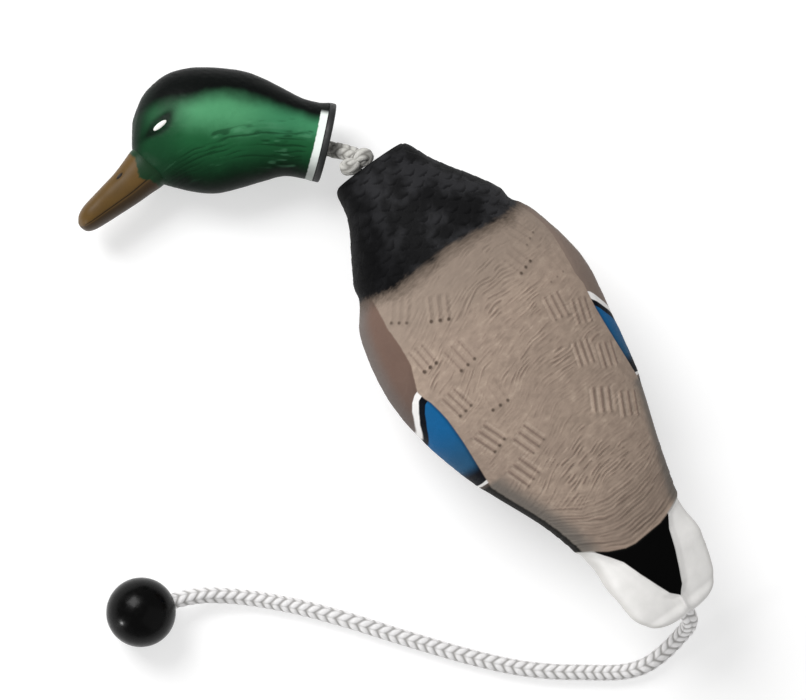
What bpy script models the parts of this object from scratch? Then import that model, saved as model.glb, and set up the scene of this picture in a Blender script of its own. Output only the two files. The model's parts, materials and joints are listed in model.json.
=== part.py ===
"""Floating mallard training dummy: a foam body, a hinged hard head and a throw rope.

Frame: +X towards the neck, +Y the duck's left, +Z up. The origin is on the belly's
flat, halfway along the body. Metres and degrees throughout.
"""
import math

import bmesh
import bpy
from mathutils import Matrix, Vector

MM = 0.001
TOUCH_GAP = 0.3 * MM            # left between pieces that touch on the real object
KNOT_GAP = 0.4 * MM             # left around a knot, which is a faceted ball

# Driving dimensions
BODY_LENGTH = 317 * MM
NECK_PLANE_X = 160 * MM         # flat front face of the body
BORE_HEIGHT = 42 * MM           # the rope's line through the body
ROPE_RADIUS = 5 * MM
KNOT_RADIUS = 10.5 * MM
BALL_RADIUS = 20 * MM
HEAD_YAW = 42                   # the head lies turned to the duck's left
HEAD_AXIS_HEIGHT = 25.6 * MM    # the neck's axis above the floor, the head on its cheek
ROPE_SIDES = 16
KNOT_SIDES = 20

# Fittings in the body's bore
NECK_FLANGE_RADIUS = 16 * MM
NECK_FLANGE = 7.5 * MM
TAIL_FLANGE_RADIUS = 11.4 * MM
TAIL_FLANGE = 3 * MM
SLEEVE_LENGTH = 12 * MM
SLEEVE_OUTER = 10.5 * MM
TUBE_OUTER = 8 * MM
TUBE_INNER = 6.2 * MM
TUBE_SEAT = 3 * MM              # wall between the neck bush's cup and the tube's end
ROPE_HOLE = 5.8 * MM
OVERSHOOT = 30 * MM             # how far a cutter runs past the surface it cuts

# Fittings in the head
CAP_FLANGE = 4.0 * MM
CAP_FLOOR = 4.6 * MM
WASHER_THICK = 1.6 * MM
WASHER_RADIUS = 11.5 * MM
HEAD_KNOT_RADIUS = 9.5 * MM
HEAD_KNOT_ALONG = CAP_FLOOR + 2 * TOUCH_GAP + WASHER_THICK + 8.2 * MM
NECK_DROP = 3 * MM              # the rope's hole is this far below the neck's middle

# Knot inside the ball
BALL_KNOT_RADIUS = 8 * MM
BALL_KNOT_ALONG = 4 * MM
BALL_CAVITY = BALL_KNOT_RADIUS + 1 * MM
BALL_LEAD = 24 * MM             # the rope runs straight into the ball from this far out


# ---------------------------------------------------------------- meshes
def remove_startup_objects():
    for thing in list(bpy.data.objects):
        bpy.data.objects.remove(thing, do_unlink=True)


def material(name, colour, roughness):
    made = bpy.data.materials.new(name)
    made.use_nodes = True
    shader = made.node_tree.nodes["Principled BSDF"]
    shader.inputs["Base Color"].default_value = (*colour, 1.0)
    shader.inputs["Roughness"].default_value = roughness
    shader.inputs["Metallic"].default_value = 0.0
    return made


def rings_to_object(name, rings, paint, closed=False, placed=None):
    """Bridges rings of points into one closed mesh.

    A ring of one point is a pole. With closed set the last ring meets the first, as on
    a tube with a wall; otherwise open ends get a flat cap.
    """
    shape = bmesh.new()
    rows = [[shape.verts.new(point) for point in ring] for ring in rings]
    pairs = list(zip(rows, rows[1:]))
    if closed:
        pairs.append((rows[-1], rows[0]))
    for near, far in pairs:
        sides = max(len(near), len(far))
        for i in range(sides):
            j = (i + 1) % sides
            corners = [near[i % len(near)], near[j % len(near)],
                       far[j % len(far)], far[i % len(far)]]
            shape.faces.new(list(dict.fromkeys(corners)))
    if not closed:
        for row in (rows[0], rows[-1]):
            if len(row) > 1:
                shape.faces.new(row)
    bmesh.ops.recalc_face_normals(shape, faces=shape.faces)
    mesh = bpy.data.meshes.new(name)
    shape.to_mesh(mesh)
    shape.free()
    mesh.shade_smooth()
    mesh.set_sharp_from_angle(angle=math.radians(40))
    made = bpy.data.objects.new(name, mesh)
    bpy.context.scene.collection.objects.link(made)
    mesh.materials.append(paint)
    if placed is not None:
        made.matrix_world = placed
    return made


def turned(name, profile, sides, paint, closed=False, placed=None):
    """Turns (distance along X, radius) points about the X axis."""
    rings = []
    for along, radius in profile:
        if radius <= 0:
            rings.append([Vector((along, 0, 0))])
            continue
        angles = [2 * math.pi * (i + 0.5) / sides for i in range(sides)]
        rings.append([Vector((along, radius * math.cos(a), radius * math.sin(a)))
                      for a in angles])
    return rings_to_object(name, rings, paint, closed, placed)


def ball_arc(centre, radius, start_deg, end_deg, steps):
    """Profile points on a sphere, at angles from the X axis."""
    points = []
    for i in range(steps + 1):
        angle = math.radians(start_deg + (end_deg - start_deg) * i / steps)
        side = radius * math.sin(angle)
        points.append((centre + radius * math.cos(angle), side if side > 1e-7 else 0.0))
    return points


def smooth_rows(rows, steps):
    """Catmull-Rom curve through rows of numbers, steps to a span."""
    padded = [rows[0]] + list(rows) + [rows[-1]]
    out = []
    for a, b, c, d in zip(padded, padded[1:], padded[2:], padded[3:]):
        for i in range(steps):
            t = i / steps
            out.append([0.5 * (2 * q + (r - p) * t + (2 * p - 5 * q + 4 * r - s) * t * t
                               + (3 * q - p - 3 * r + s) * t ** 3)
                        for p, q, r, s in zip(a, b, c, d)])
    out.append(list(rows[-1]))
    return out


def two_rail_ring(row, sides, fullness=2.0):
    """Closed section between a top and a bottom point in XZ, of a given half width.

    row is (top x, top z, bottom x, bottom z, half width).
    """
    top = Vector((row[0], 0, row[1]))
    bottom = Vector((row[2], 0, row[3]))
    middle = (top + bottom) / 2
    rise = (top - bottom) / 2
    ring = []
    for i in range(sides):
        angle = 2 * math.pi * (i + 0.5) / sides
        sine, cosine = math.sin(angle), math.cos(angle)
        side = math.copysign(abs(cosine) ** (2 / fullness), cosine)
        up = math.copysign(abs(sine) ** (2 / fullness), sine)
        ring.append(middle + rise * up + Vector((0, row[4] * side, 0)))
    return ring


def combine(target, tool, operation):
    """Boolean of target with a tool object, which stays in the file as a guide."""
    tool.hide_render = True
    tool.display_type = "WIRE"
    boolean = target.modifiers.new(tool.name, "BOOLEAN")
    boolean.operation = operation
    boolean.object = tool


def pivot(name, matrix):
    empty = bpy.data.objects.new(name, None)
    bpy.context.scene.collection.objects.link(empty)
    empty.matrix_world = matrix
    return empty


def hang(empty, *pieces):
    """Parents pieces, already placed in the world, to an empty on their joint's axis."""
    for piece in pieces:
        piece.parent = empty
        piece.matrix_parent_inverse = empty.matrix_world.inverted()


def frame_along(origin, ahead, up):
    """Matrix with X along ahead and Z as near up as it can be."""
    x_axis = ahead.normalized()
    y_axis = up.cross(x_axis).normalized()
    z_axis = x_axis.cross(y_axis)
    turn = Matrix((x_axis, y_axis, z_axis)).transposed()
    return Matrix.Translation(origin) @ turn.to_4x4()


# ---------------------------------------------------------------- places
BORE_FRAME = Matrix.Translation((0, 0, BORE_HEIGHT))

# The knot sits half sunk in the neck bush, and the head's side of the rope bends here.
NECK_KNOT = Vector((NECK_PLANE_X + 5 * MM, 0, BORE_HEIGHT))

# Head frame: X out along the neck's axis to the face, Z to the crown, Y the left cheek.
HEAD_AHEAD = Vector((math.cos(math.radians(HEAD_YAW)), math.sin(math.radians(HEAD_YAW)), 0))
HEAD_BASE = Vector((184.4 * MM, 11.4 * MM, HEAD_AXIS_HEIGHT))
HEAD_LEFT = Vector((0, 0, 1))
HEAD_FRAME = frame_along(HEAD_BASE, HEAD_AHEAD, HEAD_AHEAD.cross(HEAD_LEFT))
ROPE_OUTSIDE_CAP = 5 * MM
CAP_PIVOT = HEAD_BASE - HEAD_AHEAD * ROPE_OUTSIDE_CAP
LINK = CAP_PIVOT - NECK_KNOT

# Tail end of the body's bore
TAIL_SEAT_X = NECK_PLANE_X - 279 * MM
TAIL_KNOT_X = TAIL_SEAT_X - TAIL_FLANGE - 9.1 * MM
THROW_START_X = TAIL_KNOT_X - KNOT_RADIUS - KNOT_GAP

# Throw rope: from under the tail, down to the floor and round to the ball
THROW_ROUTE_MM = [
    (-147.8, -0.4, 41.2), (-155.2, -0.9, 38.3), (-162, -1.4, 32.8), (-166.5, -1.2, 26.2),
    (-169.4, 0.6, 19.2), (-171.6, 4.6, 12.7), (-173.7, 11.1, 7.8), (-175.1, 19.9, 5.2),
    (-174.9, 30.8, 5.1), (-171.7, 41.6, 5.1), (-165.4, 52.4, 5.1), (-156.4, 64.4, 5.1),
    (-145.9, 78.2, 5.1), (-134.5, 91.2, 5.1), (-123.4, 102, 5.1), (-111.8, 112, 5.1),
    (-100.2, 121.5, 5.1), (-88.1, 130.9, 5.1), (-75.9, 140.3, 5.1), (-63.4, 149.7, 5.1),
    (-50.9, 159, 5.1), (-38.6, 168.7, 5.1), (-26.8, 178.5, 5.1), (-15.6, 188.8, 5.1),
    (-4.8, 199.5, 5.6), (5, 210.6, 7.4), (13.2, 221.9, 10.4),
]
BALL_CENTRE = Vector((26.2 * MM, 256.4 * MM, BALL_RADIUS))
BALL_AHEAD = Vector((0.29, 0.925, 0.245)).normalized()
BALL_FRAME = frame_along(BALL_CENTRE, BALL_AHEAD, Vector((0, 0, 1)))


# ---------------------------------------------------------------- body
def body_sections():
    """Rows of (back, top, bottom, half width, side shift) along the body."""
    outline = [
        # back from the neck plane, top, bottom, half width, middle's side shift, in mm
        (0, 65.0, 19.0, 23.2, -0.3),
        (4, 68.0, 16.2, 26.2, -0.7),
        (20, 73.5, 10.0, 31.9, -2.5),
        (50, 85.5, 2.6, 50.4, -2.7),
        (63, 89.8, 0.4, 53.8, -2.3),
        (80, 94.0, -0.9, 63.0, -0.3),
        (115, 98.0, -1.4, 69.6, 0.5),
        (150, 97.2, -1.2, 65.7, 1.8),
        (190, 92.5, 0.4, 56.1, 0.1),
        (230, 85.5, 12.0, 41.3, -1.1),
        (262, 79.0, 23.0, 34.6, 0.1),
        (280, 76.8, 28.4, 35.0, 0.8),
        (288, 75.5, 53.6, 33.8, 1.7),
        (300, 73.2, 54.6, 31.5, 3.5),
        (307, 71.6, 55.2, 28.6, 3.7),
        (312.5, 69.6, 56.4, 23.4, 3.6),
        (315.5, 67.4, 58.4, 16.0, 3.2),
        (316.7, 65.2, 60.6, 9.0, 3.0),
    ]
    return [[value * MM for value in row] for row in smooth_rows(outline, 2)]


def make_body(paint):
    sides = 36
    rings = []
    for back, top, bottom, wide, shift in body_sections():
        x = NECK_PLANE_X - back
        ring = two_rail_ring((x, top, x, bottom, wide), sides, 2.15)
        for point in ring:
            point.y += shift
            point.z = max(point.z, 0.0)         # the belly's flat
        rings.append(ring)
    rings.append([Vector((NECK_PLANE_X - BODY_LENGTH, 3 * MM, 62.7 * MM))])
    body = rings_to_object("body_foam", rings, paint)
    combine(body, bore_cutter(paint), "DIFFERENCE")
    return body


def bore_cutter(paint):
    """Stepped bore for the neck bush, the core tube and the tail bush."""
    flange = NECK_FLANGE_RADIUS + TOUCH_GAP
    sleeve = SLEEVE_OUTER + TOUCH_GAP
    tube = TUBE_OUTER + TOUCH_GAP
    tail = TAIL_FLANGE_RADIUS + TOUCH_GAP
    front, rear = NECK_PLANE_X + OVERSHOOT, TAIL_SEAT_X - OVERSHOOT
    flange_floor = NECK_PLANE_X - NECK_FLANGE - TOUCH_GAP
    sleeve_floor = flange_floor - SLEEVE_LENGTH - TOUCH_GAP
    tail_floor = TAIL_SEAT_X + SLEEVE_LENGTH + TOUCH_GAP
    profile = [(front, 0.0), (front, flange), (flange_floor, flange),
               (flange_floor, sleeve), (sleeve_floor, sleeve), (sleeve_floor, tube),
               (tail_floor, tube), (tail_floor, sleeve), (TAIL_SEAT_X, sleeve),
               (TAIL_SEAT_X, tail), (rear, tail), (rear, 0.0)]
    return turned("bore_cutter", profile, 32, paint, placed=BORE_FRAME)


def make_body_fittings(tube_paint, bush_paint):
    sleeve_inner = TUBE_OUTER + TOUCH_GAP
    knot_side = NECK_KNOT.x - NECK_PLANE_X
    cup = KNOT_RADIUS + KNOT_GAP
    rim = math.degrees(math.acos(-knot_side / cup))
    hole_angle = 180 - math.degrees(math.asin(ROPE_HOLE / cup))
    front, back = NECK_PLANE_X, NECK_PLANE_X - NECK_FLANGE
    lip = 1.0 * MM
    profile = [(front - lip, NECK_FLANGE_RADIUS), (back, NECK_FLANGE_RADIUS),
               (back, SLEEVE_OUTER), (back - SLEEVE_LENGTH, SLEEVE_OUTER),
               (back - SLEEVE_LENGTH, sleeve_inner), (back - TUBE_SEAT, sleeve_inner),
               (back - TUBE_SEAT, ROPE_HOLE)]
    cup_wall = ball_arc(NECK_KNOT.x, cup, hole_angle, rim, 4)
    profile += cup_wall + [(front, NECK_FLANGE_RADIUS - lip)]
    neck_bush = turned("neck_bush", profile, 32, bush_paint, closed=True,
                       placed=BORE_FRAME)

    seat = TAIL_SEAT_X - TOUCH_GAP
    rear = TAIL_SEAT_X - TAIL_FLANGE
    inner_end = TAIL_SEAT_X + SLEEVE_LENGTH - TOUCH_GAP
    profile = [(rear, TAIL_FLANGE_RADIUS), (seat, TAIL_FLANGE_RADIUS),
               (seat, SLEEVE_OUTER), (inner_end, SLEEVE_OUTER), (inner_end, sleeve_inner),
               (TAIL_SEAT_X, sleeve_inner), (TAIL_SEAT_X, ROPE_HOLE), (rear, ROPE_HOLE)]
    tail_bush = turned("tail_bush", profile, 32, bush_paint, closed=True,
                       placed=BORE_FRAME)

    tube_front = back - TUBE_SEAT - TOUCH_GAP
    tube_back = TAIL_SEAT_X + TOUCH_GAP
    profile = [(tube_front, TUBE_OUTER), (tube_back, TUBE_OUTER),
               (tube_back, TUBE_INNER), (tube_front, TUBE_INNER)]
    tube = turned("core_tube", profile, 24, tube_paint, closed=True, placed=BORE_FRAME)
    return [neck_bush, tail_bush, tube]


# ---------------------------------------------------------------- ropes and knots
def make_core_rope(paint):
    """The rope through the body: each end is a hollow that clears its knot."""
    clear = KNOT_RADIUS + KNOT_GAP
    edge = math.degrees(math.asin(ROPE_RADIUS / clear))
    tail_end = ball_arc(TAIL_KNOT_X, clear, 0, edge, 3)
    neck_end = ball_arc(NECK_KNOT.x, clear, 180 - edge, 180, 3)
    return turned("core_rope", tail_end + neck_end, ROPE_SIDES, paint, placed=BORE_FRAME)


def make_knot(name, radius, paint, placed):
    profile = ball_arc(0, radius, 0, 180, KNOT_SIDES // 2)
    return turned(name, profile, KNOT_SIDES, paint, placed=placed)


def make_neck_rope(paint):
    """The bare rope between the neck knot and the head's cap, cupped at both ends."""
    length = LINK.length
    clear_knot = KNOT_RADIUS + KNOT_GAP
    clear_ball = ROPE_RADIUS + KNOT_GAP
    nose = 3.2 * MM
    nose_edge = 180 - math.degrees(math.asin(nose / clear_ball))
    start_edge = math.degrees(math.asin(ROPE_RADIUS / clear_knot))
    profile = ball_arc(0, clear_knot, 0, start_edge, 3)
    profile.append((length - 6.5 * MM, ROPE_RADIUS))
    profile += ball_arc(length, clear_ball, nose_edge, 180, 3)
    placed = frame_along(NECK_KNOT, LINK, Vector((0, 0, 1)))
    return turned("neck_rope", profile, ROPE_SIDES, paint, placed=placed)


def make_head_rope(rope_paint, washer_paint):
    """The rope's end inside the head, with the washer and knot that hold the cap."""
    clear = HEAD_KNOT_RADIUS + KNOT_GAP
    edge = 180 - math.degrees(math.asin(ROPE_RADIUS / clear))
    profile = ball_arc(-ROPE_OUTSIDE_CAP, ROPE_RADIUS, 180, 90, 5)
    profile += ball_arc(HEAD_KNOT_ALONG, clear, edge, 180, 3)
    rope = turned("head_rope", profile, ROPE_SIDES, rope_paint, placed=HEAD_FRAME)
    near = CAP_FLOOR + TOUCH_GAP
    far = near + WASHER_THICK
    hole = ROPE_RADIUS + TOUCH_GAP
    profile = [(near, WASHER_RADIUS), (far, WASHER_RADIUS), (far, hole), (near, hole)]
    washer = turned("head_washer", profile, 24, washer_paint, closed=True,
                    placed=HEAD_FRAME)
    at_knot = HEAD_FRAME @ Matrix.Translation((HEAD_KNOT_ALONG, 0, 0))
    knot = make_knot("head_knot", HEAD_KNOT_RADIUS, rope_paint, at_knot)
    return [rope, washer, knot]


def throw_rope_points():
    """Smooth centreline through the hand-laid route, a point every diameter or so."""
    knot_face = BALL_KNOT_ALONG - BALL_KNOT_RADIUS - 0.5 * MM
    route = [(THROW_START_X, 0, BORE_HEIGHT)]
    route += [tuple(Vector(point) * MM) for point in THROW_ROUTE_MM]
    route += [tuple(BALL_CENTRE - BALL_AHEAD * BALL_LEAD),
              tuple(BALL_CENTRE + BALL_AHEAD * knot_face)]
    return smooth_rows(route, 2)


def make_throw_rope(paint):
    points = throw_rope_points()
    curve = bpy.data.curves.new("throw_rope", "CURVE")
    curve.dimensions = "3D"
    curve.bevel_depth = ROPE_RADIUS
    curve.bevel_resolution = 3
    curve.use_fill_caps = True
    spline = curve.splines.new("POLY")
    spline.points.add(len(points) - 1)
    for knot, point in zip(spline.points, points):
        knot.co = (*point, 1.0)
    rope = bpy.data.objects.new("throw_rope", curve)
    bpy.context.scene.collection.objects.link(rope)
    curve.materials.append(paint)
    return rope


def make_ball(paint):
    """Ball moulded round the rope's stop knot: a hole on one side, a cavity within."""
    hole = ROPE_RADIUS + 0.6 * MM
    mouth = 180 - math.degrees(math.asin(hole / BALL_RADIUS))
    throat = 180 - math.degrees(math.asin(hole / BALL_CAVITY))
    profile = ball_arc(0, BALL_RADIUS, 0, mouth, 16)
    profile += ball_arc(BALL_KNOT_ALONG, BALL_CAVITY, throat, 0, 8)
    return turned("throw_ball", profile, 32, paint, placed=BALL_FRAME)


# ---------------------------------------------------------------- head
def head_rows():
    """Crown, throat and half width of the head, in millimetres in the head frame."""
    stations = [
        # crown x, crown z, throat x, throat z, half width
        (4.3, 23.5, 4.3, -23.9, 20.8),
        (10.5, 22.2, 10.5, -23.5, 20.0),
        (21, 22.6, 21, -24.8, 20.2),
        (33, 25.6, 33, -31.2, 22.2),
        (46, 28.7, 45, -38.0, 24.6),
        (57, 30.0, 57, -43.8, 25.8),
        (69, 29.0, 69, -45.8, 26.0),
        (80, 27.0, 80, -46.0, 25.2),
        (90, 24.0, 90, -45.4, 23.2),
        (100, 18.4, 99, -42.8, 20.0),
        (107, 10.5, 106, -38.5, 15.8),
        (111.4, 2.4, 110.2, -31.0, 10.6),
        (113.2, -6.0, 112.7, -21.0, 5.0),
    ]
    return [tuple(value * MM for value in (cx, cz, tx, tz, half))
            for cx, cz, tx, tz, half in stations]


def raised(rows):
    """Head outlines are drawn about the neck's middle; the frame is on the rope's hole."""
    return [(cx, cz + NECK_DROP, tx, tz + NECK_DROP, half) for cx, cz, tx, tz, half in rows]


def offset_row(row, inset):
    """Moves a section's outline inwards."""
    top, bottom = Vector((row[0], row[1])), Vector((row[2], row[3]))
    shrink = (top - bottom).normalized() * inset
    top, bottom = top - shrink, bottom + shrink
    return (top.x, top.y, bottom.x, bottom.y, row[4] - inset)


def make_head(paint):
    sides = 28
    wall = 2.6 * MM
    rows = smooth_rows(raised(head_rows()), 2)
    outer = [two_rail_ring(row, sides, 2.1) for row in rows]
    for ring in outer:
        for point in ring:
            point.y = max(point.y, -HEAD_AXIS_HEIGHT)       # the cheek it lies on
    outer.append([Vector((113.9 * MM, 0, -13.5 * MM + NECK_DROP))])
    inner_rows = [offset_row(row, wall) for row in rows[:-6]]
    inner = [two_rail_ring(row, sides, 2.1) for row in inner_rows]
    back_wall = Vector((inner_rows[-1][0] + 4 * MM, 0, -11 * MM + NECK_DROP))
    inner.append([back_wall])
    rings = outer[::-1] + inner
    head = rings_to_object("head_shell", rings, paint, closed=False, placed=HEAD_FRAME)
    combine(head, make_bill(paint), "UNION")
    return head


def make_bill(paint):
    """The bill's solid, joined to the head's shell: a part of the same moulding."""
    stations = [
        # ridge x, ridge z, chin x, chin z, half width
        (105.5, -24.0, 84.0, -40.0, 9.5),
        (110.8, -31.0, 88.5, -46.6, 12.2),
        (114.2, -39.0, 94.0, -52.6, 11.6),
        (117.8, -47.0, 100.5, -60.0, 10.8),
        (122.4, -55.0, 108.2, -68.0, 11.0),
        (127.0, -63.0, 115.2, -75.2, 11.8),
        (130.6, -69.6, 121.0, -80.6, 10.8),
        (132.0, -75.0, 125.4, -82.6, 7.4),
    ]
    rows = raised([tuple(value * MM for value in row) for row in stations])
    rings = [two_rail_ring(row, 16, 2.4) for row in smooth_rows(rows, 2)]
    rings.append([Vector((130.4 * MM, 0, -80.6 * MM + NECK_DROP))])
    return rings_to_object("bill_solid", rings, paint, placed=HEAD_FRAME)


def make_cap(paint):
    """Black plug in the neck's end: an oval flange, a spigot and the rope's hole."""
    sides = 32
    middle = NECK_DROP
    flange_high, flange_wide = 23.7 * MM, 20.9 * MM
    spigot_gap = 3.4 * MM
    taper_high, taper_wide = 1.8 * MM, 0.9 * MM     # the shell narrows behind the flange
    wall = 2.0 * MM
    edge = 0.8 * MM
    spigot_end = 12 * MM

    def oval(along, high, wide):
        return two_rail_ring((along, middle + high, along, middle - high, wide), sides, 2.1)

    def hole(along):
        return two_rail_ring((along, ROPE_HOLE, along, -ROPE_HOLE, ROPE_HOLE), sides)

    high, wide = flange_high - spigot_gap, flange_wide - spigot_gap
    end_high, end_wide = high - taper_high, wide - taper_wide
    rings = [
        hole(0),
        oval(0, flange_high - edge, flange_wide - edge),
        oval(edge, flange_high, flange_wide),
        oval(CAP_FLANGE, flange_high, flange_wide),
        oval(CAP_FLANGE, high, wide),
        oval(spigot_end, end_high, end_wide),
        oval(spigot_end, end_high - wall, end_wide - wall),
        oval(CAP_FLOOR, end_high - wall, end_wide - wall),
        hole(CAP_FLOOR),
    ]
    return rings_to_object("neck_cap", rings, paint, closed=True, placed=HEAD_FRAME)


# ---------------------------------------------------------------- whole dummy
def build():
    remove_startup_objects()
    foam = material("foam", (0.33, 0.27, 0.22), 0.75)
    head_paint = material("head_plastic", (0.03, 0.22, 0.09), 0.4)
    black = material("black_plastic", (0.02, 0.02, 0.022), 0.4)
    pale = material("tube_plastic", (0.55, 0.55, 0.52), 0.5)
    cord = material("rope", (0.82, 0.82, 0.8), 0.85)
    washer_metal = material("washer", (0.35, 0.35, 0.37), 0.5)

    make_body(foam)
    make_body_fittings(pale, black)
    make_core_rope(cord)
    make_knot("tail_knot", KNOT_RADIUS, cord, Matrix.Translation((TAIL_KNOT_X, 0, BORE_HEIGHT)))
    neck_knot = make_knot("neck_knot", KNOT_RADIUS, cord, Matrix.Translation(NECK_KNOT))
    neck_rope = make_neck_rope(cord)
    head_inside = make_head_rope(cord, washer_metal)
    head = make_head(head_paint)
    cap = make_cap(black)
    make_throw_rope(cord)
    ball = make_ball(black)
    make_knot("ball_knot", BALL_KNOT_RADIUS, cord,
              BALL_FRAME @ Matrix.Translation((BALL_KNOT_ALONG, 0, 0)))

    bpy.context.view_layer.update()
    yaw = pivot("neck_yaw", Matrix.Translation(NECK_KNOT))
    pitch = pivot("neck_pitch", frame_along(NECK_KNOT, LINK, Vector((0, 0, 1))))
    swing = pivot("head_swing", Matrix.Translation(CAP_PIVOT))
    spin = pivot("head_spin", HEAD_FRAME)
    ball_spin = pivot("ball_spin", BALL_FRAME)
    bpy.context.view_layer.update()
    hang(yaw, neck_knot, pitch)
    hang(pitch, neck_rope, swing)
    hang(swing, spin, *head_inside)
    hang(spin, head, cap)
    hang(ball_spin, ball)


build()
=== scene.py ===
"""Looks of the floating duck decoy: painted foam body, hard head, braided rope and ball.

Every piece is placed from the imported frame. Metres, +X to the neck, +Y the duck's left.
"""

import json
import math

import bpy
import numpy as np
from mathutils import Matrix, Vector


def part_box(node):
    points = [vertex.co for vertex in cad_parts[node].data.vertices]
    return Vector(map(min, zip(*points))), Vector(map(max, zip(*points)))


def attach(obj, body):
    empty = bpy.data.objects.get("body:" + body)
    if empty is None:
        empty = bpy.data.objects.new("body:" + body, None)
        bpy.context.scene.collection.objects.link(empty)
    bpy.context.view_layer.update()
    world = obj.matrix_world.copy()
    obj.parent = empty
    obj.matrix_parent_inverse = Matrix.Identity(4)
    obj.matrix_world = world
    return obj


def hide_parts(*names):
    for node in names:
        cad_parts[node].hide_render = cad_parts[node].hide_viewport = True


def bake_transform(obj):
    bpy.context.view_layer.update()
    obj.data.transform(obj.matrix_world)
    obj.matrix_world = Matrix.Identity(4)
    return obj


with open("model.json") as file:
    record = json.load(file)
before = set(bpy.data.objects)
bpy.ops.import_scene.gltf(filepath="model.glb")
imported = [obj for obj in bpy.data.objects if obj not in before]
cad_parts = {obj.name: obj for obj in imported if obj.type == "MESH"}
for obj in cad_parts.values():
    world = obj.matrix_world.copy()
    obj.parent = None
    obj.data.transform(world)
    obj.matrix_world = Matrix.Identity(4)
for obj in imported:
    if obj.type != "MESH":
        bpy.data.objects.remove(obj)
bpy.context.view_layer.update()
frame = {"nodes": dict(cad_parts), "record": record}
MM = 0.001

# Places and sizes shared with the frame
JOINTS = {joint["name"]: joint for joint in frame["record"]["behaviour"]["joints"]}
NECK_PLANE_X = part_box("neck_bush")[1][0]
BORE_HEIGHT = JOINTS["neck_yaw"]["pos_m"][2]
NECK_KNOT = Vector(JOINTS["neck_yaw"]["pos_m"])
CAP_PIVOT = Vector(JOINTS["head_swing"]["pos_m"])
HEAD_AHEAD = Vector(JOINTS["head_spin"]["axis"]).normalized()
BALL_AHEAD = Vector(JOINTS["ball_spin"]["axis"]).normalized()
BALL_CENTRE = Vector(JOINTS["ball_spin"]["pos_m"])
HEAD_BASE = CAP_PIVOT + HEAD_AHEAD * 5 * MM
TAIL_KNOT = Vector((-131.1 * MM, 0, BORE_HEIGHT))
ROPE_RADIUS = 5 * MM
BALL_RADIUS = 20 * MM
KNOT_RADIUS = 10.3 * MM
BALL_KNOT_RADIUS = 7.8 * MM


# ---------------------------------------------------------------- numbers
def curve_through(rows, at):
    """Smooth curve through rows of numbers, read at fractional row numbers."""
    rows = np.array(rows, float)
    padded = np.vstack([rows[:1], rows, rows[-1:]])
    first = np.clip(np.floor(at).astype(int), 0, len(rows) - 2)
    t = (at - first)[:, None]
    p, q, r, s = (padded[first + i] for i in range(4))
    return 0.5 * (2 * q + (r - p) * t + (2 * p - 5 * q + 4 * r - s) * t ** 2
                  + (3 * q - p - 3 * r + s) * t ** 3)


def evenly(points, spacing):
    """The same line with its points a steady distance apart."""
    steps = np.linalg.norm(np.diff(points, axis=0), axis=1)
    along = np.concatenate([[0.0], np.cumsum(steps)])
    wanted = np.linspace(0, along[-1], max(2, round(along[-1] / spacing)) + 1)
    line = np.stack([np.interp(wanted, along, points[:, i]) for i in range(3)], axis=1)
    return line, wanted


def smooth_line(route, spacing):
    """Points a steady distance apart on the smooth curve through a route."""
    dense = curve_through(route, np.linspace(0, len(route) - 1, 60 * len(route)))
    return evenly(dense, spacing)


def soft_step(value, low, high):
    """Smooth change from 0 at low to 1 at high."""
    t = np.clip((value - low) / (high - low), 0, 1)
    return t * t * (3 - 2 * t)


def hill(value, width):
    """1 where value is 0, falling away on both sides."""
    return np.exp(-(value / width) ** 2)


def soft_noise(x, y, seed):
    """Smooth noise from -1 to 1 with about one hump to a unit."""
    size = 97
    grid = np.random.default_rng(seed).uniform(-1, 1, (size, size))
    left, low = np.floor(x).astype(int), np.floor(y).astype(int)
    across, up = soft_step(x - left, 0, 1), soft_step(y - low, 0, 1)

    def corner(i, j):
        return grid[(left + i) % size, (low + j) % size]

    bottom = corner(0, 0) * (1 - across) + corner(1, 0) * across
    top = corner(0, 1) * (1 - across) + corner(1, 1) * across
    return bottom * (1 - up) + top * up


# ---------------------------------------------------------------- meshes
def grid_object(name, points, paint, notes=None, shut=False):
    """Object from rows of points closed round their columns, and past the last row if shut."""
    if shut:
        pinhole = 0.02
        centre = points[-1].mean(axis=0)
        points = np.concatenate([points, centre + (points[-1:] - centre) * pinhole])
        notes = {key: np.concatenate([values, values[-1:]]) for key, values in notes.items()}
    rows, columns = points.shape[:2]
    index = np.arange(rows * columns).reshape(rows, columns)
    after = np.roll(index, -1, axis=1)
    quads = np.stack([index[:-1], after[:-1], after[1:], index[1:]], axis=-1).reshape(-1, 4)
    mesh = bpy.data.meshes.new(name)
    mesh.from_pydata(points.reshape(-1, 3).tolist(), [], quads.tolist())
    for note, values in (notes or {}).items():
        layer = mesh.attributes.new(note, "FLOAT", "POINT")
        layer.data.foreach_set("value", np.asarray(values, np.float32).ravel())
    mesh.shade_smooth()
    mesh.materials.append(paint)
    made = bpy.data.objects.new(name, mesh)
    bpy.context.scene.collection.objects.link(made)
    return made


def normals_of(points):
    """Outward normals of rows of points that run along X and close round it."""
    along = np.gradient(points, axis=0)
    wrapped = np.concatenate([points[:, -1:], points, points[:, :1]], axis=1)
    around = (wrapped[:, 2:] - wrapped[:, :-2]) / 2
    out = np.cross(around, along)
    size = np.linalg.norm(out, axis=2, keepdims=True)
    return out / np.maximum(size, 1e-12)


def frame_along(origin, ahead, up):
    """Matrix with X along ahead and Z as near up as it can be."""
    x_axis = ahead.normalized()
    y_axis = up.cross(x_axis).normalized()
    z_axis = x_axis.cross(y_axis)
    turn = Matrix((x_axis, y_axis, z_axis)).transposed()
    return Matrix.Translation(origin) @ turn.to_4x4()


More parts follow.
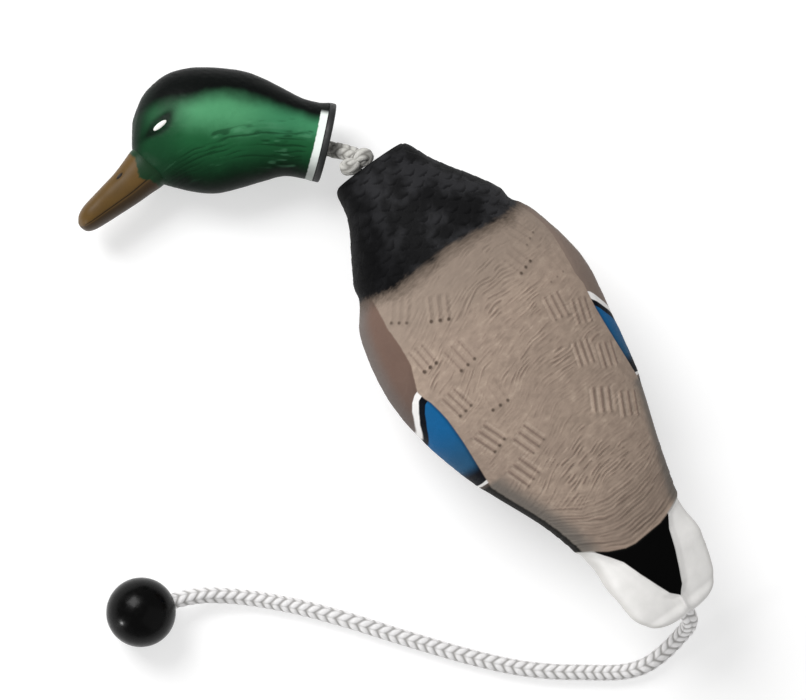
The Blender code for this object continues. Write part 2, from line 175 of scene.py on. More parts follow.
def two_rail_grid(rows, angles, fullness):
    """Sections between a top and a bottom point in XZ, with a half width.

    A row is (top x, top z, bottom x, bottom z, half width). Fullness 2 is an ellipse, and
    more is squarer.
    """
    top = np.stack([rows[:, 0], 0 * rows[:, 0], rows[:, 1]], axis=1)
    bottom = np.stack([rows[:, 2], 0 * rows[:, 2], rows[:, 3]], axis=1)
    sine, cosine = np.sin(angles), np.cos(angles)
    side = np.sign(cosine) * np.abs(cosine) ** (2 / fullness)
    up = np.sign(sine) * np.abs(sine) ** (2 / fullness)
    points = ((top + bottom)[:, None] + (top - bottom)[:, None] * up[None, :, None]) / 2
    points[:, :, 1] += rows[:, 4:5] * side[None]
    return points


def turned(name, profile, sides, paint, placed):
    """Turns (distance along X, radius) points about the X axis."""
    angles = np.linspace(0, 2 * math.pi, sides, endpoint=False)
    profile = np.array(profile, float)
    points = np.stack([profile[:, :1] + 0 * angles, profile[:, 1:] * np.cos(angles),
                       profile[:, 1:] * np.sin(angles)], axis=2)
    made = grid_object(name, points, paint)
    made.matrix_world = placed
    return made


# ---------------------------------------------------------------- material graphs
class Paint:
    """A Principled material whose colour, roughness and bump come from a node graph."""

    def __init__(self, name, roughness=0.5, specular=0.5, sheen=0.0):
        self.material = bpy.data.materials.new(name)
        self.material.use_nodes = True
        self.tree = self.material.node_tree
        self.shader = self.tree.nodes["Principled BSDF"]
        self.shader.inputs["Roughness"].default_value = roughness
        self.shader.inputs["Specular IOR Level"].default_value = specular
        self.shader.inputs["Sheen Weight"].default_value = sheen

    def node(self, kind, settings=None, inputs=None):
        made = self.tree.nodes.new(kind)
        for key, value in (settings or {}).items():
            setattr(made, key, value)
        for key, value in (inputs or {}).items():
            self.feed(made.inputs[key], value)
        return made

    def feed(self, socket, value):
        if isinstance(value, bpy.types.NodeSocket):
            self.tree.links.new(value, socket)
        elif value is not None:
            socket.default_value = value

    def note(self, name):
        """A number that the mesh carries at its points."""
        return self.node("ShaderNodeAttribute", {"attribute_name": name}).outputs["Fac"]

    def sum(self, a, b, kind="ADD"):
        return self.node("ShaderNodeMath", {"operation": kind}, {0: a, 1: b}).outputs[0]

    def times(self, a, b):
        return self.sum(a, b, "MULTIPLY")

    def ramp(self, value, low, high, start=0.0, end=1.0):
        """Smooth change from start to end as value goes from low to high."""
        made = self.node("ShaderNodeMapRange", {"interpolation_type": "SMOOTHSTEP"},
                         {"Value": value, "From Min": low, "From Max": high,
                          "To Min": start, "To Max": end})
        return made.outputs["Result"]

    def noise(self, size, detail=2.0, stretch=(1, 1, 1)):
        """Noise in object space, size metres to a hump, from about 0 to 1."""
        place = self.node("ShaderNodeTexCoord").outputs["Object"]
        scaled = self.node("ShaderNodeMapping", {"vector_type": "POINT"},
                           {"Vector": place, "Scale": tuple(1 / (size * s) for s in stretch)})
        made = self.node("ShaderNodeTexNoise", None,
                         {"Vector": scaled.outputs[0], "Scale": 1.0, "Detail": detail,
                          "Roughness": 0.5})
        return made.outputs["Fac"]

    def mix(self, factor, first, second):
        made = self.node("ShaderNodeMix", {"data_type": "RGBA", "blend_type": "MIX"})
        self.feed(made.inputs[0], factor)
        self.feed(made.inputs[6], first)
        self.feed(made.inputs[7], second)
        return made.outputs[2]

    def finish(self, colour, bump=None, depth=0.1 * MM, roughness=None):
        self.feed(self.shader.inputs["Base Color"], colour)
        if roughness is not None:
            self.feed(self.shader.inputs["Roughness"], roughness)
        if bump is not None:
            made = self.node("ShaderNodeBump", None,
                             {"Height": bump, "Distance": depth, "Strength": 1.0})
            self.feed(self.shader.inputs["Normal"], made.outputs["Normal"])
        return self.material


def rgb(code):
    """Linear colour from a six-digit code."""
    parts = [int(code[i:i + 2], 16) / 255 for i in (0, 2, 4)]
    return (*[p / 12.92 if p <= 0.04045 else ((p + 0.055) / 1.055) ** 2.4
              for p in parts], 1.0)


# ---------------------------------------------------------------- camera and light
TILT = math.radians(9)              # off straight down, to the duck's left
TURN = math.radians(54.5)
AIM = Vector((61.6, 44.7, 30.0)) * MM
CAMERA_DISTANCE = 1.6
BACK = Vector((0, math.sin(TILT), math.cos(TILT)))
LEVEL = Vector((0, math.cos(TILT), -math.sin(TILT)))
RIGHT = Vector((-1, 0, 0)) * math.cos(TURN) - LEVEL * math.sin(TURN)
UP = Vector((1, 0, 0)) * math.sin(TURN) - LEVEL * math.cos(TURN)


def make_camera():
    """Looks almost straight down on the dummy, as it lies on a table."""
    lens = bpy.data.cameras.new("camera")
    lens.lens = 122.2
    lens.sensor_width = 36
    lens.clip_start = 0.05
    made = bpy.data.objects.new("camera", lens)
    bpy.context.scene.collection.objects.link(made)
    turn = Matrix((RIGHT, UP, BACK)).transposed().to_4x4()
    made.matrix_world = Matrix.Translation(AIM + BACK * CAMERA_DISTANCE) @ turn
    bpy.context.scene.camera = made


def softbox(name, direction, distance, size, power):
    """Square area light; direction is in the camera's right, up and back."""
    towards = (RIGHT * direction[0] + UP * direction[1] + BACK * direction[2]).normalized()
    light = bpy.data.lights.new(name, "AREA")
    light.shape = "SQUARE"
    light.size = size
    light.energy = power
    made = bpy.data.objects.new(name, light)
    bpy.context.scene.collection.objects.link(made)
    made.location = AIM + towards * distance
    made.rotation_euler = towards.to_track_quat("Z", "Y").to_euler()


def make_studio():
    bpy.context.scene.view_settings.view_transform = "Standard"
    world = bpy.data.worlds.new("studio")
    world.use_nodes = True
    world.node_tree.nodes["Background"].inputs["Color"].default_value = (1, 1, 1, 1)
    world.node_tree.nodes["Background"].inputs["Strength"].default_value = 0.42
    bpy.context.scene.world = world
    softbox("key", (-0.42, 0.55, 0.72), 1.7, 0.9, 26)
    softbox("fill", (0.7, -0.3, 0.65), 2.4, 3.0, 9)
    softbox("glint", (-0.81, -0.49, 0.31), 1.4, 0.13, 4.6)
    floor_paint = Paint("floor", 0.6)
    floor_paint.shader.inputs["Emission Color"].default_value = (1, 1, 1, 1)
    floor_paint.shader.inputs["Emission Strength"].default_value = 0.5
    shade = floor_paint.mix(floor_paint.noise(0.4, 3), rgb("c4c4c4"), rgb("c8c8c8"))
    half = 3.0
    corners = [(x, y, 0) for x, y in ((-half, -half), (half, -half), (half, half), (-half, half))]
    mesh = bpy.data.meshes.new("floor")
    mesh.from_pydata(corners, [], [(0, 1, 2, 3)])
    mesh.materials.append(floor_paint.finish(shade))
    floor = bpy.data.objects.new("floor", mesh)
    bpy.context.scene.collection.objects.link(floor)


# ---------------------------------------------------------------- rope
def carried_frames(line):
    """Tangent and two steady side directions at every point of a line."""
    tangent = np.gradient(line, axis=0)
    tangent /= np.linalg.norm(tangent, axis=1, keepdims=True)
    side = np.cross(tangent[0], (0.3, 0.2, 1.0))
    sides = []
    for t in tangent:
        side = side - t * side.dot(t)
        side /= np.linalg.norm(side)
        sides.append(side)
    sides = np.array(sides)
    return tangent, sides, np.cross(tangent, sides)


STITCH = 5.9 * MM           # length of one stitch along the rope
STITCH_LEAN = 0.62          # how far a stitch leans over its column's width, in stitches
WALES = 6                   # columns of stitches round the rope
FIRST_TURN = 0.25           # radians that the columns are turned at the rope's start
LAY_TURN = 2.2              # radians that they turn in a metre
RIM_POINTS = 96


def braided(name, line, along, radius, paint):
    """Solid braid: columns of fat slanted stitches, leaning by turns to either side."""
    _, first, second = carried_frames(line)
    rim = np.linspace(0, 2 * math.pi, RIM_POINTS, endpoint=False)
    twist = FIRST_TURN + LAY_TURN * along[:, None]
    column = (rim[None] / (2 * math.pi) + twist / (2 * math.pi)) * WALES
    place = column - np.floor(column)
    odd = np.floor(column) % 2 > 0.5
    lean = np.where(odd, 1.1 - place, place)
    uneven = soft_noise(along[:, None] / (40 * MM), 0 * rim[None], 41)
    uneven = uneven + 0.12 * soft_noise(along[:, None] / (5 * MM), column / 2, 42)
    stitch = along[:, None] / STITCH + STITCH_LEAN * lean + 0.4 * uneven
    swell = np.abs(np.sin(math.pi * stitch)) ** 0.85
    seam = np.abs(np.sin(math.pi * place)) ** 0.6
    full = swell * (0.4 + 0.6 * seam)
    reach = radius * (0.83 + 0.17 * full)
    points = (line[:, None] + reach[:, :, None]
              * (first[:, None] * np.cos(rim)[None, :, None]
                 + second[:, None] * np.sin(rim)[None, :, None]))
    return grid_object(name, points, paint, notes={"full": full, "yarn": stitch})


THROW_START = Vector((-142.0, 0, 42.0)) * MM
THROW_ROUTE_MM = [          # from the tail down to the floor, and along it to the ball
    (-147.8, -0.4, 41.2), (-155.2, -0.9, 38.3), (-162, -1.4, 32.8), (-166.5, -1.2, 26.2),
    (-169.4, 0.6, 19.2), (-171.6, 4.6, 12.7), (-173.7, 11.1, 7.8), (-175.1, 19.9, 5.2),
    (-174.9, 30.8, 5.1), (-171.7, 41.6, 5.1), (-165.4, 52.4, 5.1), (-156.4, 64.4, 5.1),
    (-145.9, 78.2, 5.1), (-134.5, 91.2, 5.1), (-123.4, 102, 5.1), (-111.8, 112, 5.1),
    (-100.2, 121.5, 5.1), (-88.1, 130.9, 5.1), (-75.9, 140.3, 5.1), (-63.4, 149.7, 5.1),
    (-50.9, 159, 5.1), (-38.6, 168.7, 5.1), (-26.8, 178.5, 5.1), (-15.6, 188.8, 5.1),
    (-4.8, 199.5, 5.6), (5, 210.6, 7.4), (13.2, 221.9, 10.4),
]


def throw_line(spacing):
    route = [THROW_START] + [Vector(point) * MM for point in THROW_ROUTE_MM]
    route += [BALL_CENTRE - BALL_AHEAD * 24 * MM, BALL_CENTRE - BALL_AHEAD * 4.5 * MM]
    return smooth_line([tuple(point) for point in route], spacing)


def make_throw_rope(paint):
    line, along = throw_line(0.4 * MM)
    rope = braided("throw_rope_braid", line, along, ROPE_RADIUS, paint)
    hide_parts("throw_rope")
    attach(rope, "root")
    return rope, line


def knot_line(size):
    """Line of a pulled-up overhand knot, about size across its middle line."""
    t = np.linspace(0, 2 * math.pi, 400)
    loop = np.stack([0.62 * np.sin(3 * t), np.sin(t) + 1.5 * np.sin(2 * t) * 0.62,
                     np.cos(t) - 1.5 * np.cos(2 * t) * 0.62], axis=1)
    loop /= np.linalg.norm(loop, axis=1).max()
    return evenly(loop * size, 0.5 * MM)


def make_knot(name, radius, node, body, placed, paint, shape=(1, 1, 1)):
    """Overhand knot, stretched by shape; body is None for a knot that blends over a joint."""
    rope_radius = radius * 0.44
    line, along = knot_line(radius - rope_radius)
    line = line * shape
    knot = braided(name, line, along, rope_radius, paint)
    knot.matrix_world = placed
    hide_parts(node)
    if body:
        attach(knot, body)
    return knot


NECK_KNOT_SLIP = Vector((1.3, 5, 0)) * MM       # the knot is pulled over towards the head


def make_neck_ropes(paint):
    """The bare rope from the neck knot into the cap, in a piece for each bend."""
    link = CAP_PIVOT - NECK_KNOT
    sag = Vector((1.6, 0.6, 1.6)) * MM          # how far the rope bows out of the straight line
    route = [NECK_KNOT + Vector((3, 2, 0)) * MM, NECK_KNOT + link * 0.3 + sag,
             NECK_KNOT + link * 0.55 + sag, NECK_KNOT + link * 0.8 + sag * 0.6, CAP_PIVOT,
             HEAD_BASE, HEAD_BASE + HEAD_AHEAD * 5 * MM]
    line, along = smooth_line([tuple(point) for point in route], 0.7 * MM)
    middle = NECK_KNOT + link * 0.5
    share = (line - np.array(NECK_KNOT)) @ np.array(link.normalized())
    near = share < (middle - NECK_KNOT).length + 1 * MM
    far = share > (middle - NECK_KNOT).length - 1 * MM
    to_knot = braided("neck_rope_at_knot", line[near], along[near], ROPE_RADIUS, paint)
    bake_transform(to_knot)
    to_cap = braided("neck_rope_at_cap", line[far], along[far], ROPE_RADIUS, paint)
    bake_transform(to_cap)
    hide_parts("neck_rope")
    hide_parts("head_rope")
    return [to_knot, to_cap]


def rope_paint(name, light, dark, gap):
    """White yarn, with painted shade in the gaps between stitches, and fine fibres along it."""
    paint = Paint(name, 0.8, 0.3, sheen=0.15)
    fibres = paint.sum(paint.times(paint.note("yarn"), 44.0), None, "SINE")
    tone = paint.mix(paint.noise(1.2 * MM, 3), rgb(dark), rgb(light))
    # The gap colour is painted shade: darker where the stitches dip, between them.
    tone = paint.mix(paint.ramp(paint.note("full"), 0.85, 0.0), tone, rgb(gap))
    bump = paint.sum(paint.times(fibres, 0.4), paint.noise(0.5 * MM, 2))
    return paint.finish(tone, bump, 0.1 * MM)


# ---------------------------------------------------------------- foam body
BODY_OUTLINE = [
    # back from the neck plane, top, bottom, half width, middle's side shift, in millimetres
    (0, 65.0, 19.0, 23.2, -0.3),
    (4, 68.0, 16.2, 26.2, -0.7),
    (20, 73.5, 10.0, 31.9, -2.5),
    (50, 85.5, 2.6, 50.4, -2.7),
    (63, 89.8, 0.4, 53.8, -2.3),
    (80, 94.0, -0.9, 63.0, -0.3),
    (115, 98.0, -1.4, 69.6, 0.5),
    (150, 97.2, -1.2, 65.7, 1.8),
    (190, 92.5, 0.4, 56.1, 0.1),
    (230, 85.5, 12.0, 41.3, -1.1),
    (262, 79.0, 23.0, 34.6, 0.1),
    (280, 76.8, 28.4, 35.0, 0.8),
    (288, 75.5, 53.6, 33.8, 1.7),
    (300, 73.2, 54.6, 31.5, 3.5),
    (307, 71.6, 55.2, 28.6, 3.7),
    (312.5, 69.6, 56.4, 23.4, 3.6),
    (315.5, 67.4, 58.4, 16.0, 3.2),
    (316.7, 65.2, 60.6, 9.0, 3.0),
    (317, 63.0, 62.4, 2.0, 3.0),
]
BODY_LENGTH = 317
BODY_ROWS = 520
TOP_COLUMNS = 250
UNDER_COLUMNS = 90
BODY_FULLNESS = 2.15
BUSH_POCKET = 16.3          # radius of the seat round the front bush
TAIL_POCKET = 11.7          # and round the rear one, whose seat is this far back:
TAIL_SEAT_BACK = 279
# Height of the widest line towards the tail, by places back
WAIST = ((240, 255, 268, 280, 290, 300, 308, 317),
         (49.6, 51.2, 54.5, 58.5, 61.6, 63.2, 63.4, 62.7))

# Paint edges, each as places along it and where the edge lies there. The wings and their bars
# run back along the body, and their edges lie some way out from the middle.
LEFT_WING = ((50, 65, 73, 83, 95, 108, 116, 123, 128, 132, 139, 145, 160, 176, 185, 191),
             (44, 48, 50, 52, 52.5, 54, 57, 59.5, 58.5, 57, 55.8, 55, 54.5, 54.5, 54.3, 53.8))
RIGHT_WING = ((50, 64, 77, 86, 94, 106, 120, 127, 133, 143, 155, 165, 174, 183, 191),
              (46, 53, 56.5, 58.5, 58.5, 56.5, 54, 55, 54, 52.5, 52, 51.8, 51.8, 52, 52.5))
LEFT_BARS = (((116, 123, 126, 130, 138, 146, 195), (44, 61, 64, 66.3, 68.5, 69.6, 76)),
             ((119, 127, 133, 139, 146, 195), (44, 61, 64.3, 66.6, 68, 75)),
             ((122, 131, 135, 143, 150, 195), (44, 59.5, 62, 65, 67, 74)))
RIGHT_BARS = (((125, 133, 146, 160, 195), (44, 55.2, 62, 68, 74)),
              ((128, 137, 148, 160, 195), (44, 53.5, 60, 66.5, 73)),
              ((131, 140, 150, 160, 195), (43, 52.3, 57.5, 63.5, 72)))
# The edges across the body run from the duck's right to its left, and lie some way back.
BREAST_EDGE = ((-70, -53, -40, -20, 0, 10, 17, 25, 35, 42, 49, 70),
               (68, 67.5, 69, 67.3, 65.3, 66.6, 66.4, 67, 67.4, 65.3, 62, 57))
BACK_END = ((-36, -31, -22, -11, 0, 8, 14, 23, 28, 32, 38),
            (257, 259, 261.5, 264, 264.5, 265, 264, 260, 256.5, 254, 250))
VEE_HALF = ((250, 256, 263, 270, 281, 292, 300, 305), (30, 26, 21, 16.3, 12.5, 8, 4.5, -0.5))

# Quill marks: back, side, outward lean in degrees, gap between grooves, strength, pits
QUILLS = [
    (79, 41, 39, 4.0, 0.6, 0.8), (90.5, 24, 29, 4.8, 0.85, 1.0), (108, 47, -3, 3.8, 0.7, 1.0),
    (119, 30.5, -7, 4.8, 0.6, 0.9), (139.5, 46, -11, 3.9, 0.8, 0.8),
    (148, 27.5, 2, 4.8, 0.3, 0.9), (167, 42.5, -21, 4.1, 1.0, 0.8),
    (180, 25.5, -20, 4.6, 1.0, 0.6), (194, 37, -20, 4.3, 1.0, 0.5),
    (82, -40.5, 24, 4.6, 0.6, 0.6), (93.5, -28, 17, 4.7, 0.5, 0.9), (108, -42, 5, 5.2, 0.15, 0.6),
    (128, -31.5, -9, 4.2, 0.8, 0.6), (139, -43.5, -20, 4.2, 0.8, 0.4),
    (158.5, -29.5, -17, 4.0, 1.0, 0.5), (168, -42, -20, 4.2, 1.0, 0.3),
    (186.5, -22.5, -29, 4.7, 1.15, 0.4), (198, -36, -28, 4.8, 1.15, 0.3),
]


def body_sections():
    """Rows of the outline a steady distance apart."""
    dense = curve_through(BODY_OUTLINE, np.linspace(0, len(BODY_OUTLINE) - 1, 6000))
    steps = np.hypot(np.diff(dense[:, 0]), 0.35 * np.diff(dense[:, 2]))
    along = np.concatenate([[0.0], np.cumsum(steps)])
    wanted = np.linspace(0, along[-1], BODY_ROWS)
    return np.stack([np.interp(wanted, along, dense[:, i]) for i in range(5)], axis=1)


def quill_marks(back, side, quill):
    """Three grooves with soft ridges between them, and a pit at each one's rear end."""
    middle_back, middle_side, outward, gap, strength, pit_depth = quill
    lean = math.radians(outward) * math.copysign(1, middle_side)
    ahead = (back - middle_back) * math.cos(lean) + (side - middle_side) * math.sin(lean)
    across = (side - middle_side) * math.cos(lean) - (back - middle_back) * math.sin(lean)
    length = 7.4
    inside = soft_step(length + 0.8 - np.abs(ahead), 0, 2.2)
    height = np.zeros_like(back)
    pits = np.zeros_like(back)
    for groove in (-gap, 0, gap):
        height -= 0.5 * hill(across - groove, 0.8) * inside
        pits += hill(across - groove, 1.3) * hill(ahead - length, 1.4)
    for ridge in (-1.42 * gap, -0.5 * gap, 0.5 * gap, 1.42 * gap):
        height += 0.45 * hill(across - ridge, 0.24 * gap) * inside
    near = hill(ahead, 11) * hill(across, 2.2 * gap)
    return strength * height, pit_depth * pits, near


def feather_scales(back, side, length, width):
    """Overlapping round-ended feathers: 0 at each one's root, 1 at its rear edge."""
    best = np.zeros_like(back)
    for shift in (0, 1):
        column = np.round(side / width - 0.5 * shift) + 0.5 * shift
        off = (side / width - column) * 2
        edge = back / length + 0.36 * off ** 2 - 0.5 * shift
        best = np.maximum(best, (edge - np.floor(edge)) * (1 - 0.35 * off ** 2))
    return best


def barbs(back, side, rear):
    """Fine wrinkles across the back, in bunches, that close up and run with its rear edge."""
    left = soft_step(side, -14, 14)
    warp = 3 * soft_noise(back / 26, side / 22, 11) + 0.9 * soft_noise(back / 8, side / 8, 12)
    flow = back - (0.1 + 0.3 * left) * side + warp
    across = side + 0.3 * back
    waves = np.sin(2 * math.pi * flow / 2.15 + 2 * soft_noise(flow / 3, across / 9, 14))
    strokes = waves * soft_step(soft_noise(flow / 1.5, across / 5.5, 15), -0.25, 0.35)
    bunch = soft_step(soft_noise(back / 12 + 3, side / 13, 13), -0.45, 0.45)
    small = soft_noise(flow / 1.1, across / 3.2, 19)
    wrinkled = strokes * (0.14 + 0.3 * bunch) + 0.1 * small
    run = rear + 0.6 * soft_noise(back / 7, side / 12, 16)
    run = run + 0.3 * soft_noise(back / 3, side / 4, 18)
    ending = 0.9 * np.sin(2 * math.pi * run / 2.3) + 0.9 * soft_noise(run / 1.2, across / 8, 20)
    ending = ending * (0.07 + 0.22 * soft_step(soft_noise(run / 2, side / 9, 17), -0.6, 0.4))
    at_rear = soft_step(rear, -46, -22)
    return wrinkled * (1 - at_rear) + ending * at_rear


def edge_of(left, right, back, side):
    """Where an edge lies, read from the table of the duck's left or right."""
    return np.where(side < 0, np.interp(back, *right), np.interp(back, *left))


def body_marks(back, side, reach, past_half):
    """Signed distances to the paint's edges, in millimetres, and the relief over the skin."""
    wander = 1.1 * soft_noise(back / 11 + 9, side / 10, 3)
    wander = wander + 0.6 * soft_noise(back / 4, side / 4, 4)
    breast = np.interp(side, *BREAST_EDGE) + wander - back
    wing = reach - edge_of(LEFT_WING, RIGHT_WING, back, side)
    wing = np.where(back > 189, np.maximum(wing, past_half + 1.6), wing)
    rear = back - np.interp(side, *BACK_END)
    vee = np.interp(back, *VEE_HALF) - np.abs(side - 3)
    bars = [0.8 * (edge_of(left, right, back, side) - reach)
            for left, right in zip(LEFT_BARS, RIGHT_BARS)]
    scales = feather_scales(back + 1.5 * wander, side, 9.5, 12)
    marks = {"breast": breast, "wing": wing, "rear": rear, "vee": vee, "white_bar": bars[0],
             "black_bar": bars[1], "blue_panel": bars[2], "back": back, "side": side,
             "reach": past_half, "scales": scales}

    on_breast = soft_step(breast, -2, 4)
    on_back = soft_step(-breast, -1, 5) * soft_step(-rear, -1, 1) * soft_step(-wing, -1.5, 1.5)
    quills = np.zeros_like(back)
    pits = np.zeros_like(back)
    calm = soft_step(wing, -12, -2) * soft_step(back, 225, 205)
    for quill in QUILLS:
        grooves, dots, near = quill_marks(back, side, quill)
        quills += grooves
        pits += dots
        calm = np.maximum(calm, near)
    fine = barbs(back, side, rear) * (1 - 0.85 * calm)
    relief = on_back * (fine + quills - 0.7 * pits)
    relief += on_breast * 0.5 * scales

    on_flank = soft_step(wing, -0.5, 2.5) * (1 - on_breast) * soft_step(-rear, 0, 8)
    flank_relief = 0.3 * feather_scales(back, reach, 15, 11) - 0.9
    relief += on_flank * flank_relief * soft_step(-back, -197, -187)
    from_rim = soft_step(-past_half, 0.5, 6)
    relief += soft_step(-rear, -0.5, 0.5) * 1.3 * soft_step(back, 225, 258) * from_rim
    for layer, drop in ((5, 0.4), (10.5, 0.35), (17, 0.25), (25, 0.2)):
        relief += drop * soft_step(-rear - layer, 0.8, -0.3) * soft_step(back, 215, 235)
    in_tail = soft_step(rear, -0.4, 0.8)
    relief -= 1.5 * soft_step(vee, -1.4, 0.8) * in_tail
    crease = hill(side - 2.5, 1.1) * soft_step(back, 300, 306)
    relief -= 1.1 * crease * in_tail
    bulge = soft_step(rear, -0.5, 3.5) * soft_step(-vee, 0, 6)
    relief += (1.4 * bulge + 0.12 * soft_noise(back / 5, side / 5, 31)) * in_tail
    # The fine relief is also kept as a note, for the painted shade and highlight that follow it.
    marks["fine"] = on_back * (fine + 0.8 * quills)
    marks["pits"] = pits * on_back
    return marks, relief


def make_foam_body(paint):
    rows = body_sections()
    top = (np.arange(TOP_COLUMNS) + 0.5) / TOP_COLUMNS * math.pi
    under = math.pi + (np.arange(UNDER_COLUMNS) + 0.5) / UNDER_COLUMNS * math.pi
    angles = np.concatenate([top, under])
    sections = np.stack([-rows[:, 0], rows[:, 1], -rows[:, 0], rows[:, 2], rows[:, 3]], axis=1)
    skin = two_rail_grid(sections, angles, BODY_FULLNESS)
    middle = (rows[:, 1] + rows[:, 2]) / 2
    waist = np.where(rows[:, 0] > 240, np.interp(rows[:, 0], *WAIST), middle)[:, None]
    tall = (skin[:, :, 2] - middle[:, None]) / ((rows[:, 1] - rows[:, 2]) / 2)[:, None]
    skin[:, :, 2] = waist + np.where(tall > 0, tall * (rows[:, 1:2] - waist),
                                     tall * (waist - rows[:, 2:3]))
    skin[:, :, 2] = np.maximum(skin[:, :, 2], 0)
    back = -skin[:, :, 0]
    side = skin[:, :, 1]
    height = skin[:, :, 2]
    half = np.repeat(rows[:, 3:4], len(angles), 1)
    lower = np.repeat((np.sin(angles) < 0)[None], len(rows), 0)
    past_half = np.where(lower, half - np.abs(side), np.abs(side) - half)
    skin[:, :, 1] += rows[:, 4:5]
    reach = past_half + half + np.sign(side) * rows[:, 4:5]
    marks, relief = body_marks(back, skin[:, :, 1], reach, past_half)
    relief *= soft_step(height, 0.5, 7) * soft_step(BODY_LENGTH - back, 0, 8)
    relief *= np.where(lower, soft_step(-past_half, -30, 0), 1)
    moved = skin + normals_of(skin) * relief[:, :, None]

    from_bore = np.hypot(moved[:, :, 1], moved[:, :, 2] - BORE_HEIGHT / MM)
    rear_face = (from_bore < TAIL_POCKET) & (back > 200) & lower
    moved[:, :, 0] = np.where(rear_face, np.maximum(moved[:, :, 0], -TAIL_SEAT_BACK + 0.3),
                              moved[:, :, 0])
    notch = hill(side - 2.5, 2.2) * soft_step(back, 308, 316)
    moved[:, :, 0] += 0.8 * notch

    rim = moved[0].copy()
    turn = np.arctan2(rim[:, 2] - BORE_HEIGHT / MM, rim[:, 1])
    circle = np.stack([0 * turn, BUSH_POCKET * np.cos(turn),
                       BORE_HEIGHT / MM + BUSH_POCKET * np.sin(turn)], axis=1)
    edge = rim * 0.97 + circle * 0.03
    face = [circle + (-8, 0, 0), circle + (-0.6, 0, 0), circle * 0.93 + rim * 0.07,
            rim * 0.5 + circle * 0.5, edge]
    face = np.array(face)
    face[2:, :, 0] = 0.0
    rim_rows = len(face)
    points = np.concatenate([face, moved])
    points[rim_rows, :, 0] -= 0.5
    points[:, :, 0] += NECK_PLANE_X / MM
    notes = {name: np.concatenate([np.repeat(values[:1], rim_rows, 0), values])
             for name, values in marks.items()}
    body = grid_object("foam_body", points[:, ::-1] * MM, paint,
                       notes={name: values[:, ::-1] for name, values in notes.items()},
                       shut=True)
    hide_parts("body_foam")
    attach(body, "root")
    return body


